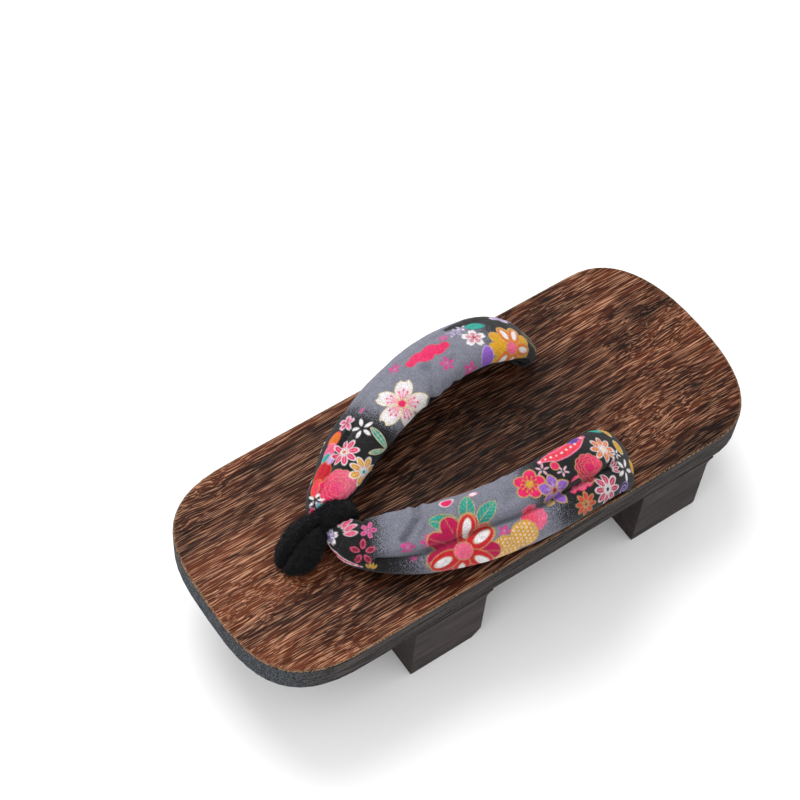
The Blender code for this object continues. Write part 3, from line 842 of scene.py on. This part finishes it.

# x and y: where the picture shows it, as read off the picture; size in millimetres; turn in degrees from the
# picture's right; then the inks, of which the last two may be missing
printColumns = ("x", "y", "kind", "size", "turn", "fill", "rim", "heart", "inner")
farPrint = (
    (334, 440, "oval", 4.4, 60, "orange", "coral"),
    (330, 451, "oval", 4.0, 62, "salmon", "pink"),
    (326, 460, "oval", 3.6, 66, "teal", "lilac"),
    (322, 475, "oval", 6.4, 70, "red", "orange"),
    (317, 488, "oval", 4.6, 75, "coral", "orange"),
    (331, 459, "oval", 2.8, 60, "lilac", "pink"),
    (338, 488, "scallop", 8.8, 10, "hotPink", "gold", "salmon"),
    (344, 452, "mum", 6.6, 0, "hotPink", "white", "orange", "magenta"),
    (364, 472, "mum", 6.6, 10, "amber", "white", "teal", "orange"),
    (380, 438, "blade", 12.5, -52, "teal", "cream", None, "deepTeal"),
    (378, 452, "blade", 8.5, 8, "teal", "cream", None, "deepTeal"),
    (362, 428, "slim", 5.0, 25, "white", "white"),
    (347, 423, "cherry", 4.2, 0, "pink", "white", "magenta", "hotPink"),
    (362, 410, "oval", 2.0, 50, "orchid", "grey"),
    (402, 404, "cherry", 12.2, 84, "white", "cream", "hotPink", "pink"),
    (427, 354, "puff", 11.0, 20, "hotPink", "coral"),
    (395, 369, "small", 3.2, 10, "orchid", "orchid", "pink"),
    (447, 363, "small", 3.5, 40, "orchid", "orchid", "pink"),
    (470, 369, "small", 3.5, 70, "orchid", "orchid", "pink"),
    (443, 338, "small", 2.6, 20, "orchid", "orchid", "pink"),
    (455, 332, "slim", 4.0, 30, "violet", "white"),
    (462, 328, "slim", 3.0, 0, "white", "lilac"),
    (475, 326, "leaf", 9.5, 12, "teal", "deepTeal"),
    (474, 337, "cherry", 5.6, 30, "white", "white", "magenta", "hotPink"),
    (499, 319, "cherry", 6.0, 12, "lilac", "white", "purple", "white"),
    (512, 348, "fancy", 11.6, 25, "orange", "gold", "salmon", "amber"),
    (488, 358, "oval", 5.6, 80, "violet", "lilac"),
    (315, 500, "slim", 3.8, 0, "white", "white"),
    (321, 507, "leaf", 5.0, -40, "teal", "lilac"),
    (311, 513, "oval", 2.4, 60, "hotPink", "pink"),
)
nearPrint = (
    (329, 537, "cherry", 4.2, 20, "white", "white", "purple", "lilac"),
    (345, 528, "petals", 6.2, 38, "salmon", "white"),
    (368, 530, "small", 3.6, 0, "orchid", "pink", "pink"),
    (408, 548, "small", 3.4, 10, "orchid", "orchid", "pink"),
    (428, 542, "small", 3.4, 40, "orchid", "orchid", "pink"),
    (414, 558, "small", 1.9, 25, "orchid", "orchid", "pink"),
    (505, 531, "small", 2.8, 0, "orchid", "orchid", "pink"),
    (363, 552, "drops", 5.4, 90, "darkRed", "salmon"),
    (371, 567, "petals", 2.6, 80, "amber", "gold"),
    (446, 504, "oval", 3.2, 20, "hotPink", "white"),
    (473, 494, "oval", 2.0, 10, "white", "pink"),
    (444, 523, "leaf", 13.0, 175, "teal", "gold", None, "deepTeal"),
    (467, 508, "leaf", 11.5, 90, "teal", "gold", None, "deepTeal"),
    (487, 511, "leaf", 11.5, 52, "teal", "gold", None, "deepTeal"),
    (534, 518, "scallop", 5.6, 0, "coral", "pink", "salmon"),
    (506, 549, "dotted", 6.2, 20, "amber", "gold", "white"),
    (525, 535, "dotted", 6.0, 20, "amber", "gold", "white"),
    (464, 551, "fancy", 15.6, 0, "red", "gold", "salmon", "magenta"),
    (529, 484, "plum", 6.8, 18, "hotPink", "gold", "amber", "magenta"),
    (555, 490, "bell", 7.0, 95, "violet", "gold", "darkRed", "lilac"),
    (542, 470, "slim", 2.8, 20, "pink", "white"),
    (563, 471, "slim", 2.6, 60, "pink", "white"),
    (555, 466, "disc", 2.1, 0, "hotPink", "gold"),
    (574, 441, "oval", 2.8, 40, "purple", "violet"),
    (582, 486, "puff", 6.6, 28, "salmon", "hotPink"),
    (590, 467, "scallop", 6.6, 40, "magenta", "gold", "hotPink"),
    (594, 431, "oval", 3.4, 10, "teal", "deepTeal"),
    (605, 432, "oval", 3.6, -25, "amber", "cream"),
    (618, 447, "oval", 3.6, -48, "amber", "cream"),
    (632, 466, "oval", 3.2, -62, "amber", "gold"),
    (603, 449, "mum", 6.2, 20, "orange", "white", "cream"),
    (616, 454, "slim", 2.6, 0, "white", "white"),
    (625, 470, "slim", 5.0, 10, "white", "white"),
    (613, 467, "petals", 3.4, 30, "magenta", "white"),
    (608, 489, "mum", 6.8, 0, "magenta", "white", "black"),
    (586, 504, "mum", 5.2, 0, "red", "gold", "darkRed"),
    (624, 489, "swirl", 3.2, 0, "purple", "lilac"),
)
farBands = (
    (((446, 330), (462, 324), (480, 320), (498, 321), (512, 326)), 0.0070, "black", "black", "black"),
    (((522, 333), (530, 341), (536, 351)), 0.0040, "black", "gold", "black"),
)
nearBands = (
    (((322, 541), (331, 550), (342, 559), (352, 564), (362, 567)), 0.0020, "salmon", "white", "hotPink"),
    (((540, 462), (552, 457), (563, 452), (574, 445), (582, 437)), 0.0066, "coral", "pink", "white"),
)
# picture point and how grey the ground is there, from black at 0 to grey at 1; below is under the long crease
farGround = ((320, 490, 0.0), (345, 450, 0.0), (362, 424, 0.10), (376, 408, 0.70), (390, 396, 1.0),
             (470, 347, 1.0), (500, 343, 0.30), (512, 345, 0.0))
nearGround = ((330, 542, 0.0), (362, 540, 0.05), (376, 540, 0.45), (396, 535, 0.95), (420, 530, 1.0),
              (500, 508, 1.0), (522, 498, 0.85), (540, 490, 0.30), (556, 480, 0.0), (610, 460, 0.0))
nearBelow = ((345, 562, 0.0), (385, 570, 0.10), (412, 568, 0.45), (432, 565, 0.75), (470, 560, 1.0),
             (536, 521, 0.95), (556, 511, 0.50), (572, 503, 0.20), (588, 498, 0.0))


def greyAlong(arm, ground):
    stops = sorted((arm["share"][pick(arm, x, y)[0]], grey) for x, y, grey in ground)
    return np.interp(arm["share"], *zip(*stops))[:, None] * np.ones(len(arm["angles"]))


def drawMotif(arm, values, i, j, turn=None):
    row = {"heart": None, "inner": None, **dict(zip(printColumns, values))}
    turn = row["turn"] if turn is None else turn
    shapes.get(row["kind"], flower)(lambda size: spotOn(arm, i, j, turn, size), row, row["size"] / 1000)


def layPrint(arm, rows, bands, ground, belowCrease, seed):
    arm["colour"] = np.zeros(arm["grid"].shape)
    arm["cover"] = np.zeros(arm["grid"].shape[:2])
    arm["grey"] = np.where(arm["inside"] > 0, greyAlong(arm, ground), greyAlong(arm, belowCrease))
    # the sides that the picture doesn't show carry the same flowers, scattered with a fixed seed
    random = np.random.default_rng(seed)
    pool = [row for row in rows if row[2] in flowerKinds and 2.9 < row[3] < 8.0]
    hidden = 0
    for attempt in range(160):
        i = int(random.uniform(0.07, 0.97) * (len(arm["share"]) - 1))
        j = int(random.uniform(0.0, 1.0) * len(arm["angles"]))
        row = pool[int(random.integers(len(pool)))]
        turn = float(random.uniform(0, 360))
        onLining = arm["inner"][i] < arm["angles"][j] < arm["outer"]
        if arm["facing"][i, j] <= -0.30 and not onLining and arm["cover"][i, j] == 0:
            drawMotif(arm, row, i, j, turn)
            hidden += 1
    for values in bands:
        band(arm, *values)
    for row in rows:
        drawMotif(arm, row, *pick(arm, row[0], row[1]))
    return hidden


print("hidden motifs", layPrint(farArm, farPrint, farBands, farGround, farGround, 5),
      layPrint(nearArm, nearPrint, nearBands, nearGround, nearBelow, 6))


# stipple, wear, yarn and threads: cells in a metre; the ground turns grey by greySpan from its blackLimit
strapCloth = {
    "stipple": 3000.0, "wear": 420.0, "yarn": 2000.0, "threads": 560.0, "blackLimit": 0.74, "greySpan": 0.48,
    "stippleEdge": 0.07, "wearShare": 0.22, "yarnShare": 0.55, "weaveDepth": 0.0003,
}


def makeStrapCloth():
    material, tree, shader, place = startMaterial("printed cotton", {
        "Roughness": 0.88, "Specular IOR Level": 0.25, "Sheen Weight": 0.12, "Sheen Roughness": 0.4,
    })
    grey, cover, ink, weaveAt = (
        addNode(tree, "Attribute", {}, attribute_name=name).outputs[output]
        for name, output in (("greyShare", "Fac"), ("printCover", "Fac"), ("printInk", "Color"),
                             ("clothPlace", "Vector")))
    # fine stipple: more grey specks pass the threshold as the ground turns grey
    speck = noiseOf(tree, place, strapCloth["stipple"], 2.0, 0.6)
    level = weighted(tree, (speck, 1.0), (1.0, -strapCloth["blackLimit"]), (grey, strapCloth["greySpan"]))
    stipple = between(tree, level, -strapCloth["stippleEdge"], strapCloth["stippleEdge"])
    ground = blendColour(tree, stipple, (*inkValues["black"], 1.0), (*inkValues["grey"], 1.0))
    colour = blendColour(tree, cover, ground, ink)
    # broad wear, then the small lights and shades of the yarn
    wear = noiseOf(tree, place, strapCloth["wear"], 3.0, 0.6)
    yarn = noiseOf(tree, place, strapCloth["yarn"], 1.0)
    for value, share, places, shade in ((wear, strapCloth["wearShare"], (0.3, 0.7), "8c8c8c"),
                                        (yarn, strapCloth["yarnShare"], (0.38, 0.58), "a8a8a8")):
        colour = blendColour(tree, share, colour, ramp(tree, value, places, (shade, "ffffff")), "MULTIPLY")
    # weave: crossed waves at the thread spacing, on the cloth's own lengths
    height = wear
    for way in ("X", "Y"):
        threads = addNode(tree, "TexWave", {"Vector": weaveAt, "Scale": strapCloth["threads"]},
                          bands_direction=way)
        height = calc(tree, "ADD", height, threads.outputs[1])
    connect(tree, shader, colour, height, 0.6, strapCloth["weaveDepth"])
    return material


clothMaterial = makeStrapCloth()


def dress(piece, cadNode):
    # a soft piece on the one body, standing for its CAD solid
    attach(piece, "root")
    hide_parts(cadNode)


def finishArm(name, arm):
    # the lining's faces lie between the seams; the last two points are the middles of the end fans
    piece = gridObject(name, arm["grid"], clothMaterial, flipped=arm["side"] < 0)
    mesh = piece.data
    mesh.materials.append(liningMaterial)
    under = (arm["angles"][None, :] > arm["inner"][:, None]) & (arm["angles"][None, :] < arm["outer"])
    slots = np.zeros(len(mesh.polygons), dtype=np.int32)
    slots[:under[:-1].size] = under[:-1].ravel()
    mesh.polygons.foreach_set("material_index", slots)
    steps = np.linalg.norm(np.roll(arm["grid"], -1, 1) - arm["grid"], axis=2)
    around = np.cumsum(steps, axis=1) - steps
    lengthwise = np.broadcast_to(arm["along"][:, None], around.shape)
    cloth = np.stack((lengthwise, around, np.zeros_like(around)), axis=-1)
    ink = np.concatenate((arm["colour"], np.ones((*around.shape, 1))), axis=-1)
    for key, kind, values in (("clothPlace", "FLOAT_VECTOR", cloth), ("printInk", "FLOAT_COLOR", ink),
                              ("printCover", "FLOAT", arm["cover"][..., None]),
                              ("greyShare", "FLOAT", arm["grey"][..., None])):
        values = values.reshape(-1, values.shape[-1])
        setAttribute(mesh, key, kind, np.vstack((values, values[-2:] * 0.0)))
    dress(piece, "strap")


finishArm("strap_far_arm", farArm)
finishArm("strap_near_arm", nearArm)
print("strap done")

# Pile thong: a stem out of the toe hole and a loop round the strap's neck
thong = {
    "loopWidth": 0.0098, "loopShift": -0.0038, "loopWall": 0.0044, "loopRoundness": 2.6,
    "stemWidth": 0.0134, "bendRadius": 0.0105, "holeWidth": 0.0094, "holeDepth": 0.0060,
    "foldAngle": 80.0, "foldDepth": 0.0040, "foldSpread": 12.0, "nearLobe": 0.60, "nearDrop": 0.46,
    "pile": 0.00034, "pileCell": 0.0007, "clumpCell": 0.0019, "tufts": 6500, "tuftLength": 0.0016,
    "tuftRadius": 0.00013, "tuftLean": 0.75, "tuftRoot": 0.00020, "gridStep": 0.00030,
}


def pileSkin(grid, wrapRows, seed):
    # short tufts: fine noise over coarser noise, pushed out along the surface's own direction
    normal = gridNormals(grid, wrapRows)
    push = valueNoise(grid, thong["pileCell"], seed) + 1.1 * valueNoise(grid, thong["clumpCell"], seed + 1)
    return grid + thong["pile"] * push[..., None] * normal


def makeStem():
    bendY = holes["toeY"] + thong["bendRadius"]
    half = thong["stemWidth"] / 2
    loopFront = neckY - strap["neckWidth"] / 2 - clearance - thong["loopWall"] / 2
    # y, z, lean, half width, half height
    rows = [(loopFront + 0.0036, neckZ + 0.0002, 0.0, 0.68 * half, 0.70 * half),
            (loopFront + 0.0012, neckZ + 0.0004, 0.0, 0.76 * half, 1.00 * half)]
    for turn, wide, high in ((0.0, 0.88, 1.08), (0.25, 1.04, 1.12), (0.5, 1.10, 1.10), (0.75, 1.02, 1.06),
                             (0.93, 0.86, 1.00)):
        lean = turn * math.pi / 2
        rows.append((bendY - thong["bendRadius"] * math.sin(lean),
                     boardTop + thong["bendRadius"] * math.cos(lean), lean, wide * half, high * half))
    inHole = (math.pi / 2, thong["holeWidth"] / 2, thong["holeWidth"] / 2)
    rows.append((holes["toeY"], boardTop + clearance, math.pi / 2, 0.78 * half, 0.96 * half))
    rows.append((holes["toeY"], boardTop + clearance / 2, *inHole))
    rows.append((holes["toeY"], boardTop - thong["holeDepth"], *inHole))
    table = np.array([(0.0, *row) for row in rows])
    along, even = evenRows(np.vstack((smoothRows(table[:-2], 24), table[-2:])), thong["gridStep"])
    turn = np.linspace(0.0, 2 * math.pi, 132, endpoint=False)[None, :]
    lean = even[:, 3:4]
    # the fold between the two strands, along the stem's side
    away = (np.degrees(turn) - thong["foldAngle"] + 180.0) % 360.0 - 180.0
    fold = np.interp(along, (0.0, 0.004, 0.020, 0.026), (0.3, 1.0, 0.8, 0.0))[:, None]
    push = -thong["foldDepth"] * fold * gaussian(away, thong["foldSpread"])
    lift = even[:, 5:6] * np.sin(turn) * (1 + push / half)
    # the second strand swells on the side of the near arm
    lobe = np.interp(along, (0.0, 0.004, 0.009, 0.018, 0.027), (0.1, 0.45, 1.0, 0.75, 0.1))[:, None]
    aside = np.interp(along, (0.0, 0.006, 0.016, 0.026), (1.0, 0.85, 0.30, 0.0))[:, None] * thong["loopShift"]
    out = even[:, 4:5] * np.cos(turn) * (1 + push / half)
    out = np.where(out > 0, out * (1 + thong["nearLobe"] * lobe), out)
    # and lies lower, so that the near arm's tip rests on it
    drop = np.clip((np.cos(turn) - 0.12) / 0.38, 0, 1) * (np.sin(turn) > 0) * thong["nearDrop"]
    fall = np.interp(along, (0.0, 0.016, 0.026), (1.0, 0.8, 0.0))[:, None]
    lift = lift * (1 - drop * fall)
    grid = np.stack((
        holes["x"] + out + aside,
        even[:, 1:2] - np.sin(lean) * lift,
        even[:, 2:3] + np.cos(lean) * lift,
    ), axis=-1)
    bare = (grid[..., 2] < boardTop + 0.0005)[..., None]
    return np.where(bare, grid, pileSkin(grid, False, 21))


def makeLoop():
    # rounded band carried round an oval in the shoe's lengthwise plane
    wall = thong["loopWall"] / 2
    reachY = strap["neckWidth"] / 2 + clearance + wall
    reachUp = strap["neckThickness"] / 2 + clearance + wall
    swing = np.linspace(0.0, 2 * math.pi, 150, endpoint=False)[:, None]
    turn = np.linspace(0.0, 2 * math.pi, 96, endpoint=False)[None, :]
    spokes = np.stack((np.zeros_like(swing), np.cos(swing) * reachUp, np.sin(swing) * reachY), axis=-1)
    centre = np.stack((np.full_like(swing, holes["x"] + thong["loopShift"]), neckY + reachY * np.cos(swing),
                       neckZ + reachUp * np.sin(swing)), axis=-1)
    sideways, outwards = superellipse(turn, thong["loopWidth"] / 2, wall, thong["loopRoundness"])
    grid = centre + unit(spokes) * outwards[..., None]
    grid[..., 0] += sideways
    return pileSkin(grid, True, 31)


def tufts(grid, wrapRows, sign, count, seed):
    # slim closed cones of three sides, rooted at random surface points and leaning off at random
    random = np.random.default_rng(seed)
    rows, columns = grid.shape[:2]
    i, j = random.integers(2, rows - 2, count), random.integers(0, columns, count)
    root, normal = grid[i, j], gridNormals(grid, wrapRows)[i, j] * sign
    keep = root[:, 2] > boardTop + 0.0008
    root, normal = root[keep], normal[keep]
    lean = unit(normal + thong["tuftLean"] * random.uniform(-1, 1, normal.shape))
    u = unit(np.cross(lean, (0.31, 0.52, 0.79)))
    v = np.cross(lean, u)
    root = root - thong["tuftRoot"] * normal
    length = thong["tuftLength"] * random.uniform(0.5, 1.2, (len(root), 1))
    ring = [root + thong["tuftRadius"] * (math.cos(a) * u + math.sin(a) * v) for a in (0.0, 2.0944, 4.1888)]
    places = np.stack((*ring, root + lean * length), axis=1).reshape(-1, 3)
    corners = np.array(((0, 1, 3), (1, 2, 3), (2, 0, 3), (2, 1, 0)))
    return places, (np.arange(len(root))[:, None, None] * 4 + corners).reshape(-1, 3)


def finishThong(name, grid, wrapRows):
    # the quads' normals have to point away from the grid's own middle line
    away = grid - grid.mean(1, keepdims=True)
    flipped = (gridNormals(grid, wrapRows) * away).sum() <= 0
    extra = tufts(grid, wrapRows, -1.0 if flipped else 1.0, thong["tufts"], 41)
    dress(gridObject(name, grid, pileMaterial, wrapRows, flipped, extra), "toe_thong")


finishThong("thong_stem", makeStem(), False)
finishThong("thong_loop", makeLoop(), True)
print("thong done")

# Floor and light
studio = {
    "floor": "f4f4f5", "floorSize": 4.0, "worldStrength": 1.0,
    "key": {"place": (-0.75, 0.10, 1.05), "size": 0.9, "power": 11.5},
    "fill": {"place": (0.5, -0.9, 0.9), "size": 1.4, "power": 3.0},
}


def makeFloor():
    half = studio["floorSize"] / 2
    mesh = bpy.data.meshes.new("floor")
    corners = [(-half, -half, 0), (half, -half, 0), (half, half, 0), (-half, half, 0)]
    mesh.from_pydata(corners, [], [(0, 1, 2, 3)])
    mesh.materials.append(startMaterial("pale floor", {
        "Base Color": rgba(studio["floor"]), "Roughness": 0.9, "Specular IOR Level": 0.1,
    })[0])
    addObject("floor", mesh)


def makeLight(name, place, size, power):
    data = bpy.data.lights.new(name, "AREA")
    data.shape = "DISK"
    data.size = size
    data.energy = power
    light = addObject(name, data)
    light.location = place
    light.rotation_mode = "QUATERNION"
    light.rotation_quaternion = (Vector((0, 0, 0.03)) - Vector(place)).to_track_quat("-Z", "Y")


def makeWorld():
    world = bpy.data.worlds.new("studio")
    world.use_nodes = True
    back = world.node_tree.nodes["Background"]
    back.inputs["Color"].default_value = (1.0, 1.0, 1.0, 1.0)
    back.inputs["Strength"].default_value = studio["worldStrength"]
    bpy.context.scene.world = world
    bpy.context.scene.view_settings.view_transform = "Standard"


makeFloor()
makeWorld()
for lightName in ("key", "fill"):
    makeLight(lightName, **studio[lightName])
print("studio done")
